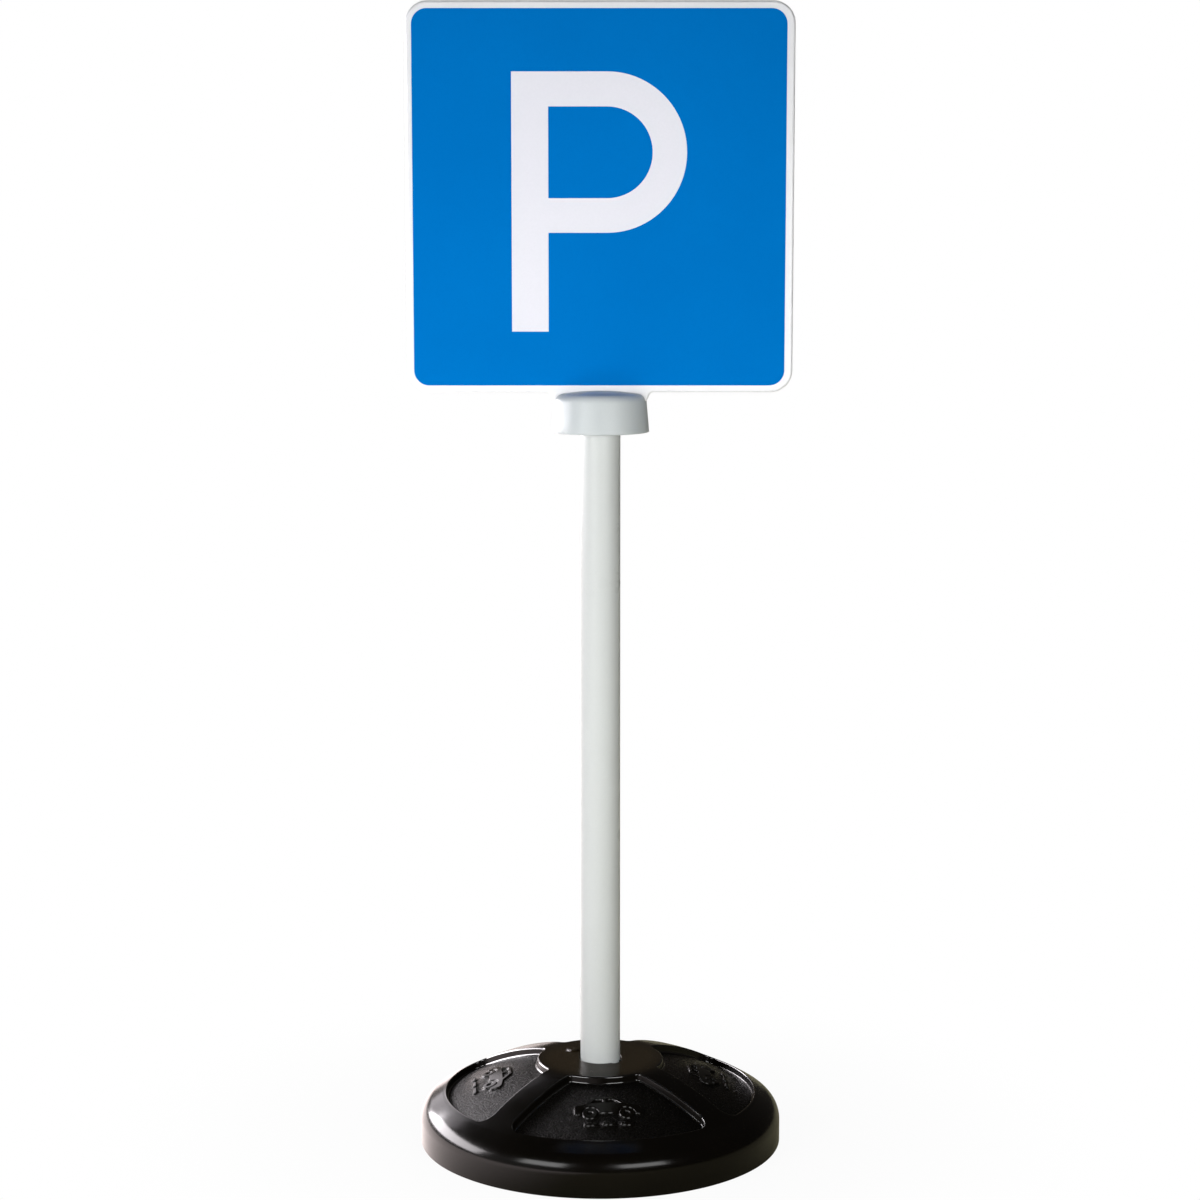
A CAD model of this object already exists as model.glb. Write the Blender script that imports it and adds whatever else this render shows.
"""Play parking sign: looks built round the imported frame. Millimetres, but metres in the studio."""
import math
import bmesh
import bpy
import numpy as np
from mathutils import Matrix, Vector
from mathutils.geometry import delaunay_2d_cdt


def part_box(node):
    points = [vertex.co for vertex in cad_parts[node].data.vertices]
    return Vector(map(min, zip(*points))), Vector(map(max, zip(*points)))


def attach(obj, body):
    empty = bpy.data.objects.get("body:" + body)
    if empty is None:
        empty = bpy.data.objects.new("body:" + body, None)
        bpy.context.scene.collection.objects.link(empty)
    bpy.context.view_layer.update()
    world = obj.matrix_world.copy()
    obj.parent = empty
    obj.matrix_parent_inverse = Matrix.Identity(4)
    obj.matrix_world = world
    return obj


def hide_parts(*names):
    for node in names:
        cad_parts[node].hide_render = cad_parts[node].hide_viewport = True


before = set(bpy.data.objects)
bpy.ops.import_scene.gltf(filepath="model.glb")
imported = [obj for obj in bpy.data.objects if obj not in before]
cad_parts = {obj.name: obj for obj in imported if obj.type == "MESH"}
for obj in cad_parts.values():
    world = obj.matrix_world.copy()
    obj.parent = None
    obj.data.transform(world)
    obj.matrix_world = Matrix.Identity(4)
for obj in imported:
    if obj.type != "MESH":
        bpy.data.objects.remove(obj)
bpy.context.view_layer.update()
scene = bpy.context.scene
MM = 0.001
SHARP_ANGLE = math.radians(32)


def box_mm(node):
    """Lowest and highest corner of a CAD node, in millimetres."""
    low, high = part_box(node)
    return low / MM, high / MM


# ---------------------------------------------------------------- materials

class Nodes:
    """Adds nodes to a material's or a world's tree, with their inputs set or linked by name."""

    def __init__(self, owner):
        owner.use_nodes = True
        self.tree = owner.node_tree

    def put(self, value, socket):
        """Links another node's output to a socket, or sets the socket to a plain value."""
        if isinstance(value, bpy.types.NodeSocket):
            self.tree.links.new(value, socket)
        else:
            socket.default_value = value

    def make(self, kind, inputs=None, **settings):
        node = self.tree.nodes.new(kind)
        for name, value in settings.items():
            setattr(node, name, value)
        for name, value in (inputs or {}).items():
            self.put(value, node.inputs[name])
        return node

    def noise(self, place, per_metre, detail=3.0, rough=0.5):
        inputs = {"Vector": place, "Scale": per_metre, "Detail": detail, "Roughness": rough}
        return self.make("ShaderNodeTexNoise", inputs).outputs["Fac"]

    def span(self, value, low, high, start=0.3, end=0.7, **settings):
        """Maps start..end onto low..high. Left out, they are the busy middle of a 0..1 pattern."""
        inputs = {"Value": value, "From Min": start, "From Max": end, "To Min": low, "To Max": high}
        return self.make("ShaderNodeMapRange", inputs, **settings).outputs["Result"]

    def ease(self, value, low, high, start, end):
        """Like span, with a slow start and end."""
        return self.span(value, low, high, start, end, interpolation_type="SMOOTHSTEP")

    def maths(self, operation, a, b):
        return self.make("ShaderNodeMath", {0: a, 1: b}, operation=operation).outputs["Value"]

    def length(self, vector):
        return self.make("ShaderNodeVectorMath", {0: vector}, operation="LENGTH").outputs["Value"]

    def blend(self, factor, a, b):
        """A colour between a and b, each of them an output or three numbers."""
        a, b = (end if isinstance(end, bpy.types.NodeSocket) else (*end, 1.0) for end in (a, b))
        return self.make("ShaderNodeMix", {"Factor": factor, 6: a, 7: b}, data_type="RGBA").outputs[2]

    def bump(self, height, distance_mm, strength=1.0, normal=None):
        inputs = {"Height": height, "Distance": distance_mm * MM, "Strength": strength}
        if normal is not None:
            inputs["Normal"] = normal
        return self.make("ShaderNodeBump", inputs).outputs["Normal"]


class Finish(Nodes):
    """A new material, with its shader and the coordinates of the piece that wears it."""

    def __init__(self, name):
        self.material = bpy.data.materials.new(name)
        super().__init__(self.material)
        self.shader = self.tree.nodes["Principled BSDF"]
        self.place = self.make("ShaderNodeTexCoord").outputs["Object"]

    def set(self, name, value):
        self.put(value, self.shader.inputs[name])


def finish_of(name, tones, rough, waves, grain, sheen_level=0.5, streak=(1, 1, 1)):
    """A moulded or printed surface.

    tones: two colours that broad patches drift between. rough: roughness range of handling smudges.
    waves: (size, height) of the slow ripple of a moulding. grain: (size, height) of its fine texture.
    streak: direction, as a scale vector, along which the colour drift is drawn out.
    """
    nodes = Finish(name)
    place = nodes.place
    drawn = nodes.make("ShaderNodeMapping", {"Vector": place, "Scale": streak}).outputs["Vector"]
    patches = nodes.span(nodes.noise(drawn, 14, 4), 0, 1)
    drift = nodes.blend(patches, *tones)
    specks = nodes.span(nodes.noise(place, 900, 2), 0, 1, 0.35, 0.65)
    fleck = tuple(0.95 * c for c in tones[0])
    nodes.set("Base Color", nodes.blend(nodes.maths("MULTIPLY", specks, 0.25), drift, fleck))
    nodes.set("Roughness", nodes.span(nodes.noise(place, 38, 6, 0.65), *rough))
    ripple = nodes.bump(nodes.noise(place, 1000 / waves[0], 2), waves[1])
    nodes.set("Normal", nodes.bump(nodes.noise(place, 1000 / grain[0], 3, 0.6), grain[1], normal=ripple))
    nodes.set("Specular IOR Level", sheen_level)
    return nodes.material


BLACK_TONES = ((0.0018, 0.0014, 0.0009), (0.0026, 0.0020, 0.0013))
MIDDLE_FADE = (31 * MM, 41 * MM)


def glossy_black(name, rough, sheen_level, middle=None):
    """The foot's smooth skin, with a roughness range of handling smudges.

    middle: a paler colour round the foot's axis, which fades out over the hub.
    """
    nodes = Finish(name)
    place = nodes.place
    colour = nodes.blend(nodes.span(nodes.noise(place, 18, 4), 0, 1), *BLACK_TONES)
    if middle:
        flat = nodes.make("ShaderNodeVectorMath", {0: place, 1: (1, 1, 0)}, operation="MULTIPLY")
        radius = nodes.length(flat.outputs["Vector"])
        colour = nodes.blend(nodes.span(radius, 0, 1, *MIDDLE_FADE), middle, colour)
    nodes.set("Base Color", colour)
    nodes.set("Roughness", nodes.span(nodes.noise(place, 42, 6, 0.65), *rough))
    ripple = nodes.bump(nodes.noise(place, 110, 2), 0.010)
    nodes.set("Normal", nodes.bump(nodes.noise(place, 900, 3), 0.002, normal=ripple))
    nodes.set("Specular IOR Level", sheen_level)
    return nodes.material


def grained_black():
    """The panel floors: a fine sand-blasted texture in the black moulding."""
    pit_size, sand_size = 1.4, 0.7
    nodes = Finish("black_grain")
    pit_cells = nodes.make("ShaderNodeTexVoronoi", {"Vector": nodes.place, "Scale": 1000 / pit_size})
    pits = pit_cells.outputs["Distance"]
    sand = nodes.noise(nodes.place, 1000 / sand_size, 4, 0.7)
    height = nodes.maths("ADD", nodes.maths("MULTIPLY", pits, 0.5), sand)
    nodes.set("Normal", nodes.bump(height, 0.40))
    tone = nodes.span(sand, 0, 1)
    nodes.set("Base Color", nodes.blend(tone, (0.0016, 0.0013, 0.0009), (0.0032, 0.0028, 0.0022)))
    nodes.set("Roughness", nodes.span(pits, 0.22, 0.32, 0.1, 0.7))
    nodes.set("Specular IOR Level", 0.072)
    return nodes.material


def screw_steel():
    """Zinc-plated steel with turning marks."""
    nodes = Finish("screw_steel")
    marks = nodes.noise(nodes.place, 4000, 2)
    stain = nodes.span(nodes.noise(nodes.place, 300, 4), 0, 1)
    nodes.set("Base Color", nodes.blend(stain, (0.62, 0.62, 0.60), (0.50, 0.51, 0.52)))
    nodes.set("Roughness", nodes.span(marks, 0.22, 0.42))
    nodes.set("Normal", nodes.bump(marks, 0.01))
    nodes.set("Metallic", 1.0)
    return nodes.material


BLACK_GLOSS = glossy_black("black_gloss", (0.14, 0.20), 0.18)
BLACK_DOME = glossy_black("black_dome", (0.17, 0.25), 0.135)
BLACK_HUB = glossy_black("black_hub", (0.20, 0.28), 0.06, (0.0155, 0.0108, 0.0052))
BLACK_EDGE = glossy_black("black_edge", (0.10, 0.13), 0.75)
BLACK_GRAIN = grained_black()
BLACK_SATIN = finish_of(
    "black_satin", ((0.014, 0.014, 0.014), (0.020, 0.020, 0.020)), (0.34, 0.48), (8, 0.02), (0.7, 0.02)
)
RUBBER = finish_of(
    "rubber", ((0.018, 0.018, 0.018), (0.026, 0.026, 0.025)), (0.62, 0.8), (5, 0.02), (0.5, 0.04)
)
STEEL = screw_steel()
SAND = finish_of("sand", ((0.52, 0.42, 0.27), (0.66, 0.55, 0.38)), (0.85, 0.95), (4, 0.5), (0.6, 0.4))
GREY = finish_of(
    "grey_plastic", ((0.566, 0.592, 0.588), (0.584, 0.608, 0.602)), (0.26, 0.36), (12, 0.02), (0.8, 0.006),
    sheen_level=0.14, streak=(1, 1, 0.12),
)
GREY_CUP = finish_of(
    "grey_cup", ((0.516, 0.556, 0.568), (0.534, 0.572, 0.584)), (0.28, 0.38), (12, 0.02), (0.8, 0.006),
    sheen_level=0.14,
)
GREY_INSERT = finish_of(
    "grey_insert", ((0.58, 0.62, 0.62), (0.62, 0.65, 0.65)), (0.40, 0.52), (8, 0.02), (0.7, 0.015)
)
WHITE = finish_of(
    "white_plastic", ((0.820, 0.832, 0.862), (0.842, 0.852, 0.880)), (0.28, 0.38), (10, 0.02), (0.9, 0.008)
)
BLUE_INK = finish_of(
    "blue_print", ((0.0001, 0.160, 0.528), (0.0002, 0.170, 0.552)), (0.34, 0.42), (16, 0.01), (0.5, 0.004),
    sheen_level=0.0,
)
WHITE_INK = finish_of(
    "white_print", ((0.780, 0.788, 0.862), (0.800, 0.808, 0.878)), (0.30, 0.38), (16, 0.01), (0.5, 0.004),
    sheen_level=0.1,
)


# ---------------------------------------------------------------- mesh tools

class Shape:
    """Points, faces and, where they are known exactly, normals of one piece."""

    def __init__(self):
        self.points = []
        self.normals = []
        self.faces = []
        self.slots = []
        self.exact = []

    def add(self, points, normals=None):
        first = len(self.points)
        self.points.extend(points)
        self.normals.extend(normals or [(0.0, 0.0, 0.0)] * len(points))
        return list(range(first, len(self.points)))

    def face(self, corners, slot=0, exact=False):
        self.faces.append(tuple(corners))
        self.slots.append(slot)
        self.exact.append(exact)

    def bridge(self, ring, other, exact=False):
        """Quads between two closed rings of the same length."""
        for i in range(len(ring)):
            j = (i + 1) % len(ring)
            self.face((ring[i], ring[j], other[j], other[i]), exact=exact)

    def piece(self, name, materials):
        """Makes the object, with its faces turned outward."""
        mesh = bpy.data.meshes.new(name)
        mesh.from_pydata([tuple(c * MM for c in p) for p in self.points], [], self.faces)
        for material in materials:
            mesh.materials.append(material)
        mesh.polygons.foreach_set("material_index", self.slots)
        work = bmesh.new()
        work.from_mesh(mesh)
        bmesh.ops.recalc_face_normals(work, faces=work.faces)
        work.to_mesh(mesh)
        work.free()
        mesh.shade_smooth()
        mesh.set_sharp_from_angle(angle=SHARP_ANGLE)
        if any(self.exact):
            corners = []
            for polygon, exact in zip(mesh.polygons, self.exact):
                for vertex in polygon.vertices:
                    corners.append(self.normals[vertex] if exact else (0.0, 0.0, 0.0))
            mesh.normals_split_custom_set(corners)
        made = bpy.data.objects.new(name, mesh)
        scene.collection.objects.link(made)
        return made


def polar(radius, degrees):
    """The point at a radius and an angle."""
    return radius * math.cos(math.radians(degrees)), radius * math.sin(math.radians(degrees))


def turned(points, degrees):
    """The points, turned round the origin."""
    c, s = polar(1.0, degrees)
    return [(x * c - y * s, x * s + y * c) for x, y in points]


def arc(centre, radius, start, end, steps):
    """Points of an arc, both ends included, in degrees."""
    around = [polar(radius, angle) for angle in np.linspace(start, end, steps + 1)]
    return [(centre[0] + x, centre[1] + y) for x, y in around]


def rounded(corner, before, after, radius, steps=6):
    """Points that round one corner of an outline."""
    corner, before, after = (np.array(p, float) for p in (corner, before, after))
    back = (before - corner) / np.linalg.norm(before - corner)
    on = (after - corner) / np.linalg.norm(after - corner)
    half = math.acos(float(back @ on)) / 2
    reach = radius / math.tan(half)
    centre = corner + (back + on) / np.linalg.norm(back + on) * radius / math.sin(half)
    start, end = corner + back * reach - centre, corner + on * reach - centre
    whole = math.degrees(math.atan2(start[0] * end[1] - start[1] * end[0], float(start @ end)))
    return [tuple(centre + turned([start], whole * i / steps)[0]) for i in range(steps + 1)]


def lathe(shape, profile, segments, radius_at=None):
    """Turns a closed profile of (radius, height) round the vertical axis. Radius 0 is a single point."""
    rings = []
    for radius, height in profile:
        if radius == 0:
            rings.append(shape.add([(0.0, 0.0, height)]))
            continue
        ring = []
        for i in range(segments):
            angle = 360 * i / segments
            extra = radius_at(angle) if radius_at else 0.0
            ring.append((*polar(radius + extra, angle), height))
        rings.append(shape.add(ring))
    for ring, other in zip(rings, rings[1:] + rings[:1]):
        if len(ring) == len(other) == 1:
            continue
        if len(ring) == 1 or len(other) == 1:
            tip, circle = (ring, other) if len(ring) == 1 else (other, ring)
            for i in range(segments):
                shape.face((tip[0], circle[i], circle[(i + 1) % segments]))
        else:
            shape.bridge(ring, other)


def edge_normals(loop):
    """Outward unit normals at the corners of a counter-clockwise loop, long enough to mitre an offset."""
    points = np.array(loop)
    along = np.roll(points, -1, 0) - points
    along /= np.linalg.norm(along, axis=1, keepdims=True)
    after = np.stack([along[:, 1], -along[:, 0]], 1)
    before = np.roll(after, 1, 0)
    return (before + after) / (1 + (before * after).sum(1, keepdims=True))


def inside(points, loop):
    """Even-odd test of many points against one loop."""
    x, y = np.array(points).T
    result = np.zeros(len(x), bool)
    for (x1, y1), (x2, y2) in zip(loop, loop[1:] + loop[:1]):
        crosses = (y1 > y) != (y2 > y)
        with np.errstate(divide="ignore", invalid="ignore"):
            result ^= crosses & (x < (x2 - x1) * (y - y1) / (y2 - y1) + x1)
    return result


def distance_to(points, loop):
    """Distance from many points to the nearest edge of a loop."""
    points = np.array(points, float)
    nearest = np.full(len(points), np.inf)
    for a, b in zip(loop, loop[1:] + loop[:1]):
        a, b = np.array(a), np.array(b)
        run = b - a
        along = np.clip(((points - a) @ run) / (run @ run), 0, 1)
        nearest = np.minimum(nearest, np.linalg.norm(points - a - along[:, None] * run, axis=1))
    return nearest


# ---------------------------------------------------------------- foot cover

COVER_LOW, COVER_HIGH = box_mm("foot_cover")
FOOT_R = (COVER_HIGH.x - COVER_LOW.x) / 2
FOOT_TURN = 4.0
FOOT_WALL, WALL_Z, INNER_Z = 2.6, 8.0, 9.0
RIM_Z = COVER_LOW.z
RIM_OUT_EDGE, RIM_IN_EDGE = 0.4, 0.7
DOME_R = 199.5
SPHERE_Z = 54.9 - DOME_R
DOME_RINGS = (99.5, 101.2, 102.9)
SHOULDER_R = 14.0
SHOULDER_X = FOOT_R - SHOULDER_R
SHOULDER_Z = SPHERE_Z + math.sqrt((DOME_R - SHOULDER_R) ** 2 - SHOULDER_X**2)
SHOULDER_ANGLE = math.degrees(math.atan2(SHOULDER_Z - SPHERE_Z, SHOULDER_X))
PATCH_R, PATCH_STEPS = 98.0, 320

ARROW_R, ARROW_H, ARROW_CLEAR = 22.0, 0.45, 4.6
HUB_Z = COVER_HIGH.z - ARROW_H
HUB_BLEND, HUB_LIFT = 0.5, 0.025
HUB_R, HUB_DEPTH = 41.5, 0.6
SOCKET_R = 12.75
MOUTH_EDGE_R = 0.65
KEYWAY_END, KEYWAY_HALF, KEYWAY_CORNER = 14.7, 3.9, 1.7
KEYWAY_ANGLE = 135.0
CHAMBER_R, CHAMBER_TOP = 15.6, 14.4

PANEL_DEPTH = 4.5
PANEL_IN_R, PANEL_OUT_R = 39.2, 95.0
PANEL_IN_CORNER, PANEL_OUT_CORNER = 3.0, 7.0
PANEL_EDGE_R, PANEL_EDGE_STEPS = 1.1, 6
PANEL_WALL_SLOPE = 80.0
CRISP_LOW, CRISP_HIGH = 5, 75
SPOKE_HALF = 9.0
EDGE_MARGIN = 0.5

EMBLEM_R, EMBLEM_H = 65.0, 0.9
EMBLEM_HALF_X, EMBLEM_LOW, EMBLEM_HIGH = 21.5, -15.5, 11.5
EMBLEM_STEP, EMBLEM_MARGIN = 1.9, 1.5
EMBLEM_CLEAR = 0.8
# Steps up the edge of the raised parts: (outward offset, rise, slope in degrees).
EMBLEM_SECTION = [
    (0.34, 0.0, 35.0), (0.20, 0.25, 62.0), (0.02, 0.62, 62.0), (-0.14, 0.82, 35.0), (-0.34, EMBLEM_H, 0.0),
]

FILL_START, FILL_STEP, FILL_MARGIN = 17.3, 2.7, 0.9
FINE_FROM, FINE_TO, FINE_STEP = 36, 46, 1.2

COVER_FINISHES = [BLACK_GLOSS, BLACK_GRAIN, BLACK_EDGE, BLACK_DOME, BLACK_HUB]
GRAIN_SLOT, EDGE_SLOT, DOME_SLOT, HUB_SLOT = 1, 2, 3, 4


def dome_point(x, y, depth):
    """Height and normal of the foot's top at a depth: a dome cut by the flat hub, with a soft edge."""
    ball = DOME_R - depth
    dome_z = SPHERE_Z + math.sqrt(ball * ball - x * x - y * y)
    flat_z = HUB_Z - depth
    gap = dome_z - flat_z
    soft_gap = math.hypot(gap, 2 * HUB_BLEND)
    height = 0.5 * (dome_z + flat_z - soft_gap) + HUB_LIFT
    slope = 0.5 * (1 - gap / soft_gap) / (dome_z - SPHERE_Z)
    return min(height, flat_z), Vector((x * slope, y * slope, 1.0)).normalized()


class Plan:
    """Points of the foot's top seen from above, with the depth of each below the dome."""

    def __init__(self):
        self.flat = []
        self.solid = []
        self.normals = []
        self.depths = []
        self.edges = []
        self.crisp = set()

    def add(self, x, y, depth, lean=(0.0, 0.0), drop=0.0):
        """lean: plan vector that tips the dome's normal. drop: extra depth, straight down."""
        height, normal = dome_point(x, y, depth)
        self.flat.append((x, y))
        self.solid.append((x, y, height - drop))
        self.normals.append(tuple((normal + Vector((*lean, 0.0))).normalized()))
        self.depths.append(depth)
        return len(self.flat) - 1

    def close(self, ids):
        """Keeps a closed loop of points as edges."""
        self.edges.extend(zip(ids, ids[1:] + ids[:1]))
        return ids

    def offset(self, loop, grow, depth, slope=0.0, drop=0.0):
        """Adds a loop moved outward by grow. slope: how far its normals tip outward, in degrees."""
        steep = math.tan(math.radians(slope))
        ids = []
        for (x, y), n in zip(loop, edge_normals(loop)):
            ids.append(self.add(x + grow * n[0], y + grow * n[1], depth, steep * n, drop))
        return self.close(ids)


def panel_outline(inset):
    """Outline of one panel, centred on +X, moved inward by inset."""
    in_r, out_r = PANEL_IN_R + inset, PANEL_OUT_R - inset
    half = SPOKE_HALF + inset
    in_corner, out_corner = PANEL_IN_CORNER - inset, PANEL_OUT_CORNER - inset
    in_at, out_at = in_r + in_corner, out_r - out_corner
    in_lean = 45 - math.degrees(math.asin((half + in_corner) / in_at))
    out_lean = 45 - math.degrees(math.asin((half + out_corner) / out_at))
    upper = arc((0, 0), out_r, 0, out_lean, 20)
    upper += arc(polar(out_at, out_lean), out_corner, out_lean, 135, 14)[1:]
    side_end = arc(polar(in_at, in_lean), in_corner, 135, 180 + in_lean, 10)
    start, end = np.array(upper[-1]), np.array(side_end[0])
    upper += [tuple(start + (end - start) * i / 16) for i in range(1, 16)]
    upper += side_end
    upper += arc((0, 0), in_r, in_lean, 0, 8)[1:]
    lower = [(x, -y) for x, y in upper[-2:0:-1]]
    return upper + lower


def panel_section():
    """Steps across a panel's edge: (inset, depth, slope in degrees), from the dome down to the floor."""
    slope = math.radians(PANEL_WALL_SLOPE)
    turns = [slope * i / PANEL_EDGE_STEPS for i in range(PANEL_EDGE_STEPS + 1)]
    turn_run = PANEL_EDGE_R * math.sin(slope)
    turn_drop = PANEL_EDGE_R * (1 - math.cos(slope))
    wall_run = (PANEL_DEPTH - 2 * turn_drop) / math.tan(slope)
    top = -(2 * turn_run + wall_run) / 2
    steps = [(top - EDGE_MARGIN, 0.0, 0.0)]
    for a in turns:
        steps.append((top + PANEL_EDGE_R * math.sin(a), PANEL_EDGE_R * (1 - math.cos(a)), math.degrees(a)))
    foot = -top
    for a in reversed(turns):
        rise = PANEL_EDGE_R * (1 - math.cos(a))
        steps.append((foot - PANEL_EDGE_R * math.sin(a), PANEL_DEPTH - rise, math.degrees(a)))
    steps.append((foot + EDGE_MARGIN, PANEL_DEPTH, 0.0))
    return steps


def add_panel(plan, quarter):
    """The edge of one sunk panel. The points of its two rounded turns are crisp."""
    for inset, depth, slope in panel_section():
        ring = plan.offset(turned(panel_outline(inset), quarter), 0.0, depth, -slope)
        if CRISP_LOW < slope < CRISP_HIGH:
            plan.crisp.update(ring)


def emblem_loops():
    """A plain car over a dashed road line: loops with the raised side on their left."""
    wheel_x, wheel_y = 11.0, -4.0
    arch_r, tyre_r, hole_r = 5.4, 4.4, 1.9
    dash_half, dash_low, dash_high = 3.8, -13.9, -12.1
    body = [(-20, wheel_y)]
    for x in (-wheel_x, wheel_x):
        body += arc((x, wheel_y), arch_r, 180, 0, 14)
    body += [(20, wheel_y), (20, 1.5), (19.6, 2.3), (17.8, 3.4), (11, 4.3), (4.6, 9.6), (3.6, 10)]
    body += [(-7.4, 10), (-8.4, 9.6), (-13.2, 4.3), (-18.6, 3.4), (-19.7, 2.4), (-20, 1.2)]
    rear_window = [(-10.6, 4.4), (-7, 8.3), (-2.6, 8.3), (-2.6, 4.4)]
    front_window = [(-0.8, 4.4), (-0.8, 8.3), (3.2, 8.3), (7.8, 4.4)]
    loops = [body, rear_window, front_window]
    for x in (-wheel_x, wheel_x):
        loops.append(arc((x, wheel_y), tyre_r, 0, 360, 28)[:-1])
        loops.append(arc((x, wheel_y), hole_r, 360, 0, 18)[:-1])
    for x in (-wheel_x, 0, wheel_x):
        left, right = x - dash_half, x + dash_half
        loops.append([(left, dash_low), (right, dash_low), (right, dash_high), (left, dash_high)])
    return loops


def add_emblem(plan, quarter):
    """The raised pictogram of one panel, and a fine grid of points over and round it."""
    placed = []
    for emblem in emblem_loops():
        loop = turned([(EMBLEM_R - v, u) for u, v in emblem], quarter)
        placed.append(loop)
        for grow, rise, slope in EMBLEM_SECTION:
            plan.offset(loop, grow, PANEL_DEPTH - rise, slope)
    across = np.arange(-EMBLEM_HALF_X, EMBLEM_HALF_X + 0.1, EMBLEM_STEP)
    up = np.arange(EMBLEM_LOW, EMBLEM_HIGH + 0.1, EMBLEM_STEP)
    grid = turned([(EMBLEM_R - v, u) for u in across for v in up], quarter)
    clear = np.min([distance_to(grid, loop) for loop in placed], axis=0) > EMBLEM_CLEAR
    raised = np.sum([inside(grid, loop) for loop in placed], axis=0) % 2 == 1
    for (x, y), is_clear, is_raised in zip(grid, clear, raised):
        if is_clear:
            plan.add(x, y, PANEL_DEPTH - (EMBLEM_H if is_raised else 0.0))


def opening_outline():
    """The socket's round hole with its two keyways."""
    lean = math.degrees(math.asin(KEYWAY_HALF / SOCKET_R))
    near = polar(SOCKET_R, lean)[0]
    low, high = (near, -KEYWAY_HALF), (near, KEYWAY_HALF)
    far_low, far_high = (KEYWAY_END, -KEYWAY_HALF), (KEYWAY_END, KEYWAY_HALF)
    half = [low]
    half += rounded(far_low, low, far_high, KEYWAY_CORNER)
    half += rounded(far_high, far_low, high, KEYWAY_CORNER)
    half += arc((0, 0), SOCKET_R, lean, 180 - lean, 40)[:-1]
    return turned(half + turned(half, 180), KEYWAY_ANGLE)


def add_mouth(plan):
    """Rounded, crisp edge of the socket's opening. Returns the loop at the opening."""
    loop = opening_outline()
    plan.offset(loop, MOUTH_EDGE_R + EDGE_MARGIN, 0.0)
    for slope in (0, 18, 36, 54, 72, 88):
        out, up = polar(MOUTH_EDGE_R, slope)
        ring = plan.offset(loop, MOUTH_EDGE_R - up, 0.0, -slope, MOUTH_EDGE_R - out)
        plan.crisp.update(ring)
    return ring


def add_arrow(plan):
    """Small raised arrowhead on the hub that points at one keyway."""
    tip, tail, tail_half = ARROW_R - 3.2, ARROW_R + 1.6, 2.6
    loop = turned([(tip, 0.0), (tail, -tail_half), (tail, tail_half)], KEYWAY_ANGLE)
    for grow, rise, slope in EMBLEM_SECTION:
        plan.offset(loop, grow, 0.5 * rise, slope, -rise)


def panel_inset(x, y):
    """How far a point lies inside the nearest panel (negative outside it), and its place in that panel."""
    quarter = 90 * round(math.degrees(math.atan2(y, x)) / 90)
    (u, v), = turned([(x, y)], -quarter)
    from_out = PANEL_OUT_R - math.hypot(u, v)
    from_in = math.hypot(u, v) - PANEL_IN_R
    from_side = (u - abs(v)) / math.sqrt(2) - SPOKE_HALF
    inset = min(from_out, from_in, from_side)
    for across, corner in ((from_out, PANEL_OUT_CORNER), (from_in, PANEL_IN_CORNER)):
        if across < corner and from_side < corner:
            inset = min(inset, corner - math.hypot(corner - across, corner - from_side))
    return inset, u, v


def add_fill(plan):
    """Rings of points over the hub, the spokes, the rim and the panel floors."""
    band = FILL_MARGIN - panel_section()[0][0]
    arrow = polar(ARROW_R, KEYWAY_ANGLE)
    radius, shift = FILL_START, 0.0
    while radius < PATCH_R - FINE_STEP:
        count = round(2 * math.pi * radius / FILL_STEP)
        for i in range(count):
            x, y = polar(radius, 360 * (i + shift) / count)
            inset, u, v = panel_inset(x, y)
            beside = abs(v) > EMBLEM_HALF_X + EMBLEM_MARGIN
            above_or_below = not EMBLEM_LOW - EMBLEM_MARGIN < EMBLEM_R - u < EMBLEM_HIGH + EMBLEM_MARGIN
            if inset < -band and math.dist((x, y), arrow) > ARROW_CLEAR:
                plan.add(x, y, 0.0)
            elif inset > band and (beside or above_or_below):
                plan.add(x, y, PANEL_DEPTH)
        shift = 0.5 - shift
        radius += FINE_STEP if FINE_FROM < radius < FINE_TO else FILL_STEP


def cover_plan():
    """The plan of the cover's top, its outer circle and the loop at the socket's opening."""
    plan = Plan()
    outer = plan.close([plan.add(*polar(PATCH_R, 360 * i / PATCH_STEPS), 0.0) for i in range(PATCH_STEPS)])
    opening = add_mouth(plan)
    add_arrow(plan)
    for quarter in (0, 90, 180, 270):
        add_panel(plan, quarter)
        add_emblem(plan, quarter)
    add_fill(plan)
    return plan, outer, opening


def top_slot(plan, ids):
    """Which of the cover's finishes a face of its top has."""
    if any(i in plan.crisp for i in ids):
        return EDGE_SLOT
    if all(plan.depths[i] > PANEL_DEPTH - 0.01 for i in ids):
        return GRAIN_SLOT
    if all(math.hypot(*plan.flat[i]) < HUB_R and plan.depths[i] < HUB_DEPTH for i in ids):
        return HUB_SLOT
    return DOME_SLOT


def triangles(points, edges):
    """Triangles that keep the edges, as lists of point numbers. None stands for a point where edges cross."""
    flat = [Vector(point) for point in points]
    _, _, faces, origins, _, _ = delaunay_2d_cdt(flat, edges, [], 0, 1e-5, True)
    source = [origin[0] if origin else None for origin in origins]
    return [[source[corner] for corner in corners] for corners in faces]


def cover_top(shape, plan, opening):
    """Faces between all the points of the plan, except over the socket."""
    shape.add(plan.solid, plan.normals)
    faces = [ids for ids in triangles(plan.flat, plan.edges) if None not in ids]
    middles = [np.mean([plan.flat[i] for i in ids], axis=0) for ids in faces]
    over_socket = inside(middles, [plan.flat[i] for i in opening])
    for ids, is_open in zip(faces, over_socket):
        if not is_open:
            shape.face(ids, top_slot(plan, ids), exact=True)


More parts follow.
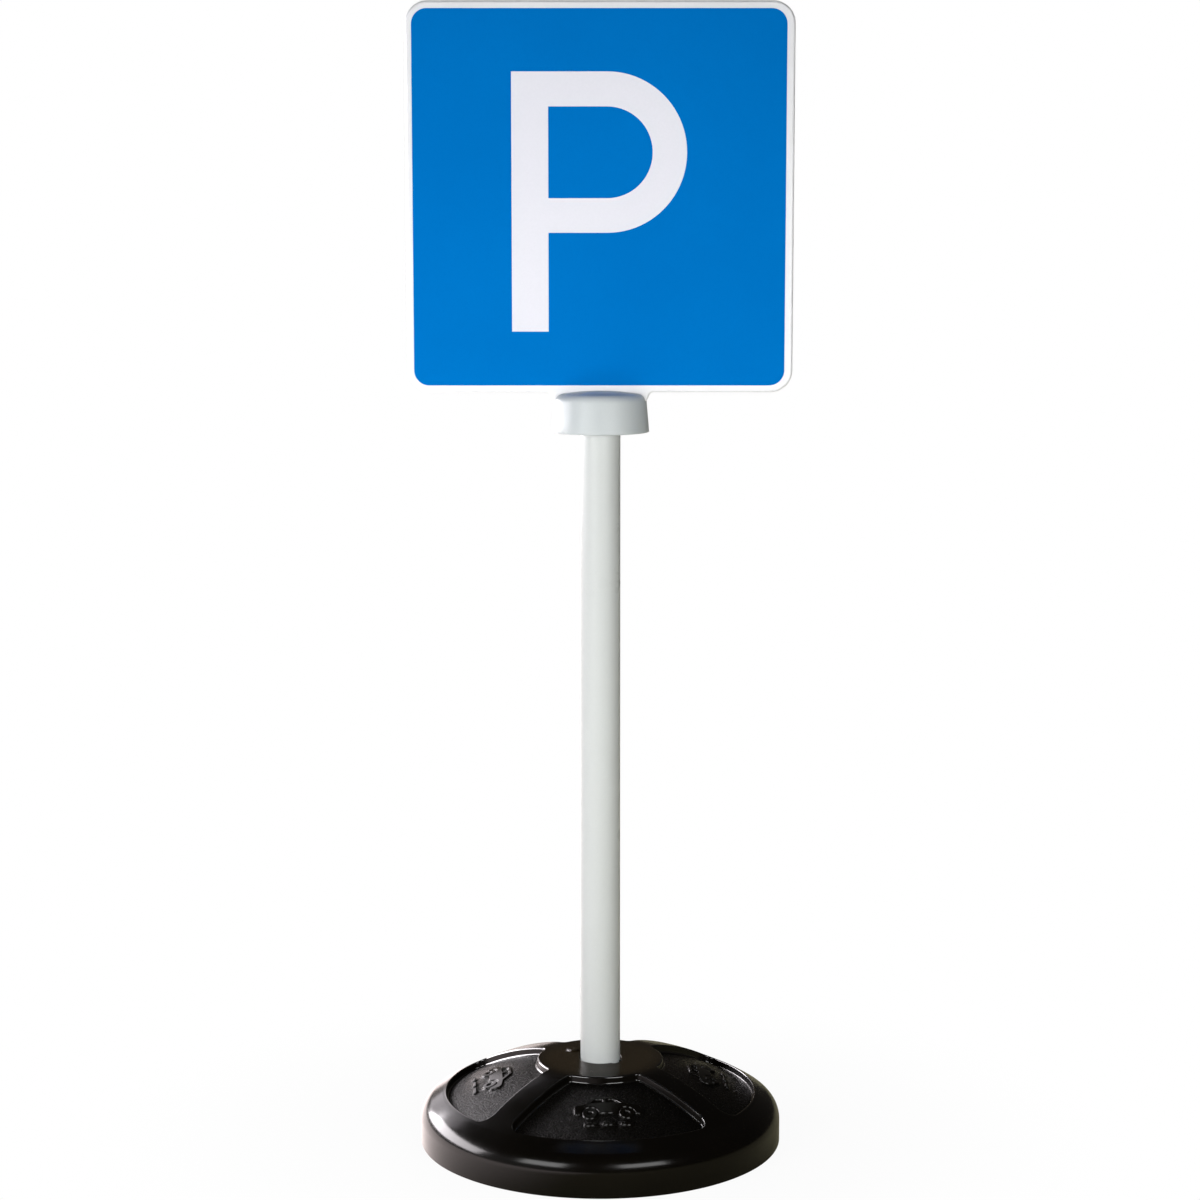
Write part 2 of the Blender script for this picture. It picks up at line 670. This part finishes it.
def cover_ring(shape, last, radius, height, normal=None):
    """A new ring, bridged to the last one. normal: outward and upward part of its exact normals."""
    around = [polar(1.0, 360 * i / PATCH_STEPS) for i in range(PATCH_STEPS)]
    points = [(radius * c, radius * s, height) for c, s in around]
    normals = [(c * normal[0], s * normal[0], normal[1]) for c, s in around] if normal else None
    ring = shape.add(points, normals)
    shape.bridge(last, ring, exact=normal is not None)
    return ring


def cover_side(shape, last):
    """Shoulder, wall and rim, from the top's outer circle to a ring inside the wall, which is returned."""
    for radius in DOME_RINGS:
        height, normal = dome_point(radius, 0, 0)
        last = cover_ring(shape, last, radius, height, (normal.x, normal.z))
    for angle in np.linspace(SHOULDER_ANGLE, 0, 15):
        out, up = polar(1.0, angle)
        last = cover_ring(shape, last, SHOULDER_X + SHOULDER_R * out, SHOULDER_Z + SHOULDER_R * up, (out, up))
    inner_r = FOOT_R - FOOT_WALL
    rim = [(FOOT_R, WALL_Z), (FOOT_R, RIM_Z + RIM_OUT_EDGE)]
    rim += arc((FOOT_R - RIM_OUT_EDGE, RIM_Z + RIM_OUT_EDGE), RIM_OUT_EDGE, -15, -90, 5)
    rim += arc((inner_r + RIM_IN_EDGE, RIM_Z + RIM_IN_EDGE), RIM_IN_EDGE, 270, 180, 5)
    rim.append((inner_r, INNER_Z))
    for radius, height in rim:
        last = cover_ring(shape, last, radius, height)
    return last


def cover_inside(shape, opening, wall):
    """Socket, key chamber and the flat face between the chamber and the wall."""
    angles = [math.degrees(math.atan2(shape.points[i][1], shape.points[i][0])) for i in opening]
    socket = shape.add([(*shape.points[i][:2], CHAMBER_TOP) for i in opening])
    shape.bridge(opening, socket)
    roof = shape.add([(*polar(CHAMBER_R, a), CHAMBER_TOP) for a in angles])
    shape.bridge(socket, roof)
    sill = shape.add([(*polar(CHAMBER_R, a), INNER_Z) for a in angles])
    shape.bridge(roof, sill)
    ends, count = wall + sill, len(wall)
    edges = [(i, (i + 1) % count) for i in range(count)]
    edges += [(count + i, count + (i + 1) % len(sill)) for i in range(len(sill))]
    for ids in triangles([shape.points[i][:2] for i in ends], edges):
        if any(i < count for i in ids):
            shape.face([ends[i] for i in ids])


def foot_cover():
    """The foot's glossy upper moulding, in one mesh with five finishes."""
    plan, outer, opening = cover_plan()
    shape = Shape()
    cover_top(shape, plan, opening)
    wall = cover_side(shape, outer)
    cover_inside(shape, opening, wall)
    piece = shape.piece("foot_cover_moulding", COVER_FINISHES)
    piece.data.transform(Matrix.Rotation(math.radians(FOOT_TURN), 4, "Z"))
    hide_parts("foot_cover")
    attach(piece, "foot")


foot_cover()


# ---------------------------------------------------------------- pole

POLE_LOW, POLE_HIGH = box_mm("pole_tube")
POLE_LOW_R, POLE_TOP_R = (POLE_HIGH.x - POLE_LOW.x) / 2, 12.1
POLE_WALL = 1.8
POLE_SOFT, POLE_SOFT_MIDDLE = 0.5, 0.15
FLASH_H, FLASH_HALF_ANGLE = 0.05, 1.6


def pole_radius(z):
    """The tapered pole's radius at a height."""
    return POLE_LOW_R + (POLE_TOP_R - POLE_LOW_R) * (z - POLE_LOW.z) / (POLE_HIGH.z - POLE_LOW.z)


def pole_flash(angle):
    """The faint ridge of the two mould halves, at both sides of the pole."""
    away = min(angle % 180, 180 - angle % 180)
    return -FLASH_H + FLASH_H * max(0.0, 1 - away / FLASH_HALF_ANGLE)


def pole():
    """Tapered tube with softened ends."""
    low, high = POLE_LOW.z, POLE_HIGH.z
    low_r, high_r = pole_radius(low), pole_radius(high)
    profile = [(low_r - POLE_SOFT, low), (low_r - POLE_SOFT_MIDDLE, low + POLE_SOFT_MIDDLE)]
    profile.append((low_r, low + POLE_SOFT))
    profile += [(pole_radius(z), z) for z in np.linspace(low + 10, high - 10, 12)]
    profile.append((high_r, high - POLE_SOFT))
    profile += [(high_r - POLE_SOFT_MIDDLE, high - POLE_SOFT_MIDDLE), (high_r - POLE_SOFT, high)]
    profile += [(high_r - POLE_WALL, high), (low_r - POLE_WALL, low)]
    shape = Shape()
    lathe(shape, profile, 240, pole_flash)
    piece = shape.piece("pole_tube_moulding", [GREY])
    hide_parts("pole_tube")
    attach(piece, "pole")


pole()


# ---------------------------------------------------------------- collar

COLLAR_LOW, COLLAR_HIGH = box_mm("collar")
COLLAR_LOW_R, COLLAR_TOP_R = (COLLAR_HIGH.x - COLLAR_LOW.x) / 2, 27.8
COLLAR_CROWN = 464.2
COLLAR_SHOULDER = 5.0
COLLAR_DOME_R = 140.0
COLLAR_WALL, COLLAR_DRAFT = 2.6, 0.6
COLLAR_OUT_EDGE, COLLAR_IN_EDGE = 0.7, 0.5
COLLAR_SIDE_END = 1.0
WEB_LOW, WEB_HIGH, WEB_FILLET = 445.5, 449.5, 0.8
SLEEVE_IN, SLEEVE_OUT, SLEEVE_Z = 12.6, 15.0, 440.6
SLEEVE_EDGE, SLEEVE_FILLET = 0.4, 0.6
POST_BORE = 6.06
WELL_R, WELL_HALF = 9.6, 24.1
TONGUE_Z, NECK_Z = 454.5, 457.6
SLOT_HALF = 7.1
SLACK = 0.1


def box_tool(low, high):
    """A plain box that cuts the collar."""
    shape = Shape()
    around = ((low[0], low[1]), (high[0], low[1]), (high[0], high[1]), (low[0], high[1]))
    bottom = shape.add([(x, y, low[2]) for x, y in around])
    top = shape.add([(x, y, high[2]) for x, y in around])
    shape.bridge(bottom, top)
    shape.face(bottom)
    shape.face(top)
    return shape.piece("cut_tool", [GREY_CUP])


def cut(piece, *tools):
    """Subtracts the tools from the piece and bakes the result into its mesh."""
    for tool in tools:
        modifier = piece.modifiers.new("cut", "BOOLEAN")
        modifier.operation = "DIFFERENCE"
        modifier.solver = "EXACT"
        modifier.object = tool
    bpy.context.view_layer.update()
    graph = bpy.context.evaluated_depsgraph_get()
    mesh = bpy.data.meshes.new_from_object(piece.evaluated_get(graph))
    piece.modifiers.clear()
    piece.data = mesh
    for tool in tools:
        bpy.data.objects.remove(tool)


def collar_profile():
    """Domed cup, with a sleeve round the pole inside it, from the crown round to the axis again."""
    fillet_x = COLLAR_TOP_R - COLLAR_SHOULDER
    lean = math.asin(fillet_x / (COLLAR_DOME_R - COLLAR_SHOULDER))
    dome_z = COLLAR_CROWN - COLLAR_DOME_R
    fillet_z = dome_z + (COLLAR_DOME_R - COLLAR_SHOULDER) * math.cos(lean)
    low = COLLAR_LOW.z
    side_drop = fillet_z - low - COLLAR_SIDE_END
    inner_low, inner_top = COLLAR_LOW_R - COLLAR_WALL, COLLAR_TOP_R - COLLAR_WALL + COLLAR_DRAFT
    profile = [(0.0, COLLAR_CROWN)]
    profile += [(x, dome_z + math.sqrt(COLLAR_DOME_R**2 - x * x)) for x in np.linspace(3, fillet_x - 1, 8)]
    profile += arc((fillet_x, fillet_z), COLLAR_SHOULDER, 90 - math.degrees(lean), 0, 12)
    for share in (0.2, 0.4, 0.6, 0.8):
        profile.append((COLLAR_TOP_R + (COLLAR_LOW_R - COLLAR_TOP_R) * share, fillet_z - side_drop * share))
    profile += arc((COLLAR_LOW_R - COLLAR_OUT_EDGE, low + COLLAR_OUT_EDGE), COLLAR_OUT_EDGE, 0, -90, 5)
    profile += arc((inner_low + COLLAR_IN_EDGE, low + COLLAR_IN_EDGE), COLLAR_IN_EDGE, -90, -180, 4)
    profile += [(inner_top, WEB_LOW - WEB_FILLET), (inner_top - WEB_FILLET, WEB_LOW)]
    profile += [(SLEEVE_OUT + SLEEVE_FILLET, WEB_LOW), (SLEEVE_OUT, WEB_LOW - SLEEVE_FILLET)]
    profile += arc((SLEEVE_OUT - SLEEVE_EDGE, SLEEVE_Z + SLEEVE_EDGE), SLEEVE_EDGE, 0, -90, 3)
    profile += arc((SLEEVE_IN + SLEEVE_EDGE, SLEEVE_Z + SLEEVE_EDGE), SLEEVE_EDGE, -90, -180, 3)
    profile += [(SLEEVE_IN, WEB_LOW), (POST_BORE, WEB_LOW), (POST_BORE, WEB_HIGH)]
    profile += [(WELL_R, WEB_HIGH), (WELL_R, TONGUE_Z - 2 * SLACK), (0.0, TONGUE_Z - 2 * SLACK)]
    return profile


def collar():
    """The domed cup, with a slot across its top for the board's neck and a well for its tongue."""
    shape = Shape()
    lathe(shape, collar_profile(), 144)
    piece = shape.piece("collar_moulding", [GREY_CUP])
    slot = box_tool((-40, -SLOT_HALF, NECK_Z - SLACK), (40, SLOT_HALF, COLLAR_CROWN + 9))
    well = box_tool((-WELL_HALF, -SLOT_HALF, TONGUE_Z), (WELL_HALF, SLOT_HALF, COLLAR_CROWN + 8))
    cut(piece, slot, well)
    piece.data.set_sharp_from_angle(angle=SHARP_ANGLE)
    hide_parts("collar")
    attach(piece, "head")


collar()


# ---------------------------------------------------------------- sign board

SHELL_LOW, SHELL_HIGH = box_mm("sign_front_shell")
BOARD_HALF = (SHELL_HIGH.x - SHELL_LOW.x) / 2
BOARD_TOP = SHELL_HIGH.z
BOARD_LOW = BOARD_TOP - 2 * BOARD_HALF
HALF_THICK = -SHELL_LOW.y
BOARD_CORNER = 13.0
BOARD_EDGE_R = 1.6
BOARD_FACE_MARGIN = 0.3
PARTING = 0.22
NECK_HIGH_X, NECK_LOW_X, TONGUE_X = 30.0, 27.6, 24.0
NECK_FILLET, NECK_CORNER, STEP_CORNER = 2.6, 1.7, 0.3


def board_outline():
    """Square board with round corners, and under it the neck and tongue that sit in the collar."""
    right, top, low = BOARD_HALF, BOARD_TOP, BOARD_LOW
    corners = [
        ((right, low), BOARD_CORNER, 14), ((right, top), BOARD_CORNER, 14),
        ((-right, top), BOARD_CORNER, 14), ((-right, low), BOARD_CORNER, 14),
        ((-NECK_HIGH_X, low), NECK_FILLET, 8), ((-NECK_LOW_X, NECK_Z), NECK_CORNER, 5),
        ((-TONGUE_X, NECK_Z), STEP_CORNER, 3), ((-TONGUE_X, TONGUE_Z), NECK_CORNER, 5),
        ((TONGUE_X, TONGUE_Z), NECK_CORNER, 5), ((TONGUE_X, NECK_Z), STEP_CORNER, 3),
        ((NECK_LOW_X, NECK_Z), NECK_CORNER, 5), ((NECK_HIGH_X, low), NECK_FILLET, 8),
    ]
    loop = []
    for i, (corner, radius, steps) in enumerate(corners):
        before, after = corners[i - 1][0], corners[(i + 1) % len(corners)][0]
        loop += rounded(corner, before, after, radius, steps)
    return loop


def board_shell(side, name, node):
    """One half of the board: side -1 is the front. The parting edge is eased, the face edge is rounded."""
    loop = board_outline()
    outward = edge_normals(loop)
    section = [(PARTING, 0.0), (PARTING * 0.3, 0.08), (0.0, PARTING)]
    for angle in np.linspace(0, 90, 8):
        out, up = polar(BOARD_EDGE_R, angle)
        section.append((BOARD_EDGE_R - out, HALF_THICK - BOARD_EDGE_R + up))
    section.append((BOARD_EDGE_R + BOARD_FACE_MARGIN, HALF_THICK))
    shape = Shape()
    rings = []
    for inset, y in section:
        ring = [(x - inset * n[0], side * y, z - inset * n[1]) for (x, z), n in zip(loop, outward)]
        rings.append(shape.add(ring))
    for ring, other in zip(rings, rings[1:]):
        shape.bridge(ring, other)
    shape.face(rings[0])
    shape.face(rings[-1])
    piece = shape.piece(name, [WHITE])
    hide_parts(node)
    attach(piece, "head")


board_shell(-1, "board_front_moulding", "sign_front_shell")
board_shell(1, "board_back_moulding", "sign_back_shell")


# ---------------------------------------------------------------- CAD nodes that stay

KEPT = {
    "foot_pan": BLACK_SATIN, "filler_plug": BLACK_SATIN,
    "pan_seal": RUBBER, "filler_seal": RUBBER,
    "grip_pad_1": RUBBER, "grip_pad_2": RUBBER, "grip_pad_3": RUBBER, "grip_pad_4": RUBBER,
    "pan_screws": STEEL, "swivel_washer": STEEL, "swivel_screw": STEEL,
    "collar_screws": STEEL, "shell_screws": STEEL,
    "sand_ballast": SAND, "pole_key": GREY_INSERT, "head_peg": GREY_INSERT,
    "front_film": BLUE_INK, "back_film": BLUE_INK,
    "front_letter": WHITE_INK, "back_letter": WHITE_INK,
}
for node, material in KEPT.items():
    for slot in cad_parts[node].material_slots:
        slot.material = material


# ---------------------------------------------------------------- studio, in metres

FLOOR_R, FLOOR_DROP = 30000, 0.02
CAMERA_PLACE, CAMERA_DIP, CAMERA_LENS = (-0.00015, -1.628, 0.5673), 8.055, 81.47
LIGHTS_AIM = Vector((0, 0, 0.3))


def floor_material():
    """Pale floor. The camera sees it fade into the white background, and gloss sees it glow on the left."""
    nodes = Finish("studio_floor")
    path = nodes.make("ShaderNodeLightPath")
    seen, mirrored = path.outputs["Is Camera Ray"], path.outputs["Is Glossy Ray"]
    fade = nodes.ease(nodes.length(nodes.place), 0.94, 1.0, 0.1, 0.34)
    across = nodes.make("ShaderNodeSeparateXYZ", {"Vector": nodes.place}).outputs["X"]
    left_side = nodes.ease(across, 1.0, 0.0, -0.16, -0.02)
    unseen = nodes.blend(left_side, (0.50, 0.46, 0.30), (0.92, 0.90, 0.92))
    nodes.set("Base Color", nodes.blend(seen, unseen, (0.86, 0.86, 0.855)))
    nodes.set("Roughness", nodes.span(nodes.noise(nodes.place, 3, 3), 0.78, 0.88))
    nodes.set("Specular IOR Level", 0.1)
    strength = nodes.maths("ADD", nodes.maths("MULTIPLY", mirrored, 4.8), seen)
    tint = nodes.blend(seen, (1.0, 0.86, 0.84), (1.0, 1.0, 1.0))
    glow = nodes.make("ShaderNodeEmission", {"Color": tint, "Strength": strength})
    left_glow = nodes.maths("MULTIPLY", nodes.maths("MULTIPLY", left_side, mirrored), 0.6)
    share = nodes.maths("ADD", nodes.maths("MULTIPLY", fade, seen), left_glow)
    mixed = nodes.make("ShaderNodeMixShader", {0: share, 1: nodes.shader.outputs[0], 2: glow.outputs[0]})
    nodes.put(mixed.outputs[0], nodes.tree.nodes["Material Output"].inputs["Surface"])
    return nodes.material


def floor():
    """A large disc just under the foot."""
    shape = Shape()
    shape.face(shape.add([(*polar(FLOOR_R, a), -FLOOR_DROP) for a in range(0, 360, 6)]))
    shape.piece("studio_floor", [floor_material()])


def softbox(
    name, azimuth, elevation, distance, width, height, power, colour=(1, 1, 1), gloss=True, matt=True
):
    """A rectangular soft light. Azimuth 0 is in front of the sign and -90 to its left, in degrees.

    gloss, matt: whether it shows in highlights, and whether it lights surfaces.
    """
    light = bpy.data.lights.new(name, "AREA")
    light.shape = "RECTANGLE"
    light.size, light.size_y = width, height
    light.energy = power
    light.color = colour
    lamp = bpy.data.objects.new(name, light)
    lamp.visible_glossy, lamp.visible_diffuse, lamp.visible_camera = gloss, matt, False
    flat, up = polar(distance, elevation)
    back, right = polar(flat, azimuth)
    away = Vector((right, -back, up))
    lamp.location = LIGHTS_AIM + away
    lamp.rotation_mode = "QUATERNION"
    lamp.rotation_quaternion = away.to_track_quat("Z", "Y")
    scene.collection.objects.link(lamp)


def studio_world():
    """White behind the object, and a dim room round it: bright towards the rear left, dark to the front."""
    world = bpy.data.worlds.new("studio")
    scene.world = world
    nodes = Nodes(world)
    nodes.tree.nodes.clear()
    way = nodes.make("ShaderNodeTexCoord").outputs["Generated"]
    x, y, z = nodes.make("ShaderNodeSeparateXYZ", {"Vector": way}).outputs

    def light(colour, strength):
        inputs = {"Color": (*colour, 1.0), "Strength": strength}
        return nodes.make("ShaderNodeBackground", inputs).outputs[0]

    low_down = nodes.ease(z, 1.0, 0.0, 0.25, 0.65)
    behind = nodes.maths("MULTIPLY", nodes.ease(y, 0.0, 0.10, 0.1, 0.8), low_down)
    behind = nodes.maths("MULTIPLY", nodes.ease(x, 1.0, 0.15, -0.02, 0.22), behind)
    left = nodes.maths("MULTIPLY", nodes.ease(x, 0.0, 0.32, -0.12, -0.7), low_down)
    warm, cool = light((1.0, 0.74, 0.46), behind), light((0.97, 0.95, 1.0), left)
    both = nodes.make("ShaderNodeAddShader", {0: warm, 1: cool}).outputs[0]
    room = nodes.make("ShaderNodeAddShader", {0: both, 1: light((1.0, 1.0, 1.0), 0.03)}).outputs[0]
    seen = nodes.make("ShaderNodeLightPath").outputs["Is Camera Ray"]
    mixed = nodes.make("ShaderNodeMixShader", {0: seen, 1: room, 2: light((1.0, 1.0, 1.0), 1.0)})
    nodes.make("ShaderNodeOutputWorld", {"Surface": mixed.outputs[0]})


def camera():
    """The photograph's view: level with the pole's top half, tilted down a little."""
    lens = bpy.data.cameras.new("camera")
    lens.sensor_width = 36.0
    lens.lens = CAMERA_LENS
    body = bpy.data.objects.new("camera", lens)
    body.location = CAMERA_PLACE
    body.rotation_euler = (math.radians(90 - CAMERA_DIP), 0, 0)
    scene.collection.objects.link(body)
    scene.camera = body


floor()
softbox("window", -113, 11, 1.9, 2.4, 0.75, 125, (1.0, 0.95, 0.98), matt=False)
softbox("window_rear", -150, 15, 1.9, 1.0, 1.0, 8, (0.98, 0.92, 0.97), matt=False)
softbox("rear_left", -120, 8, 1.9, 1.7, 0.55, 12, gloss=False)
softbox("low_front", -8, -21, 0.48, 0.3, 0.12, 0.34, gloss=False)
softbox("back", 178, 18, 1.6, 1.2, 0.6, 11, gloss=False)
softbox("front_left", -36, 10, 0.865, 0.42, 0.30, 4.4)
softbox("front_right", 26, 10, 0.865, 0.44, 0.26, 3.6)
studio_world()
camera()
scene.view_settings.view_transform = "Standard"
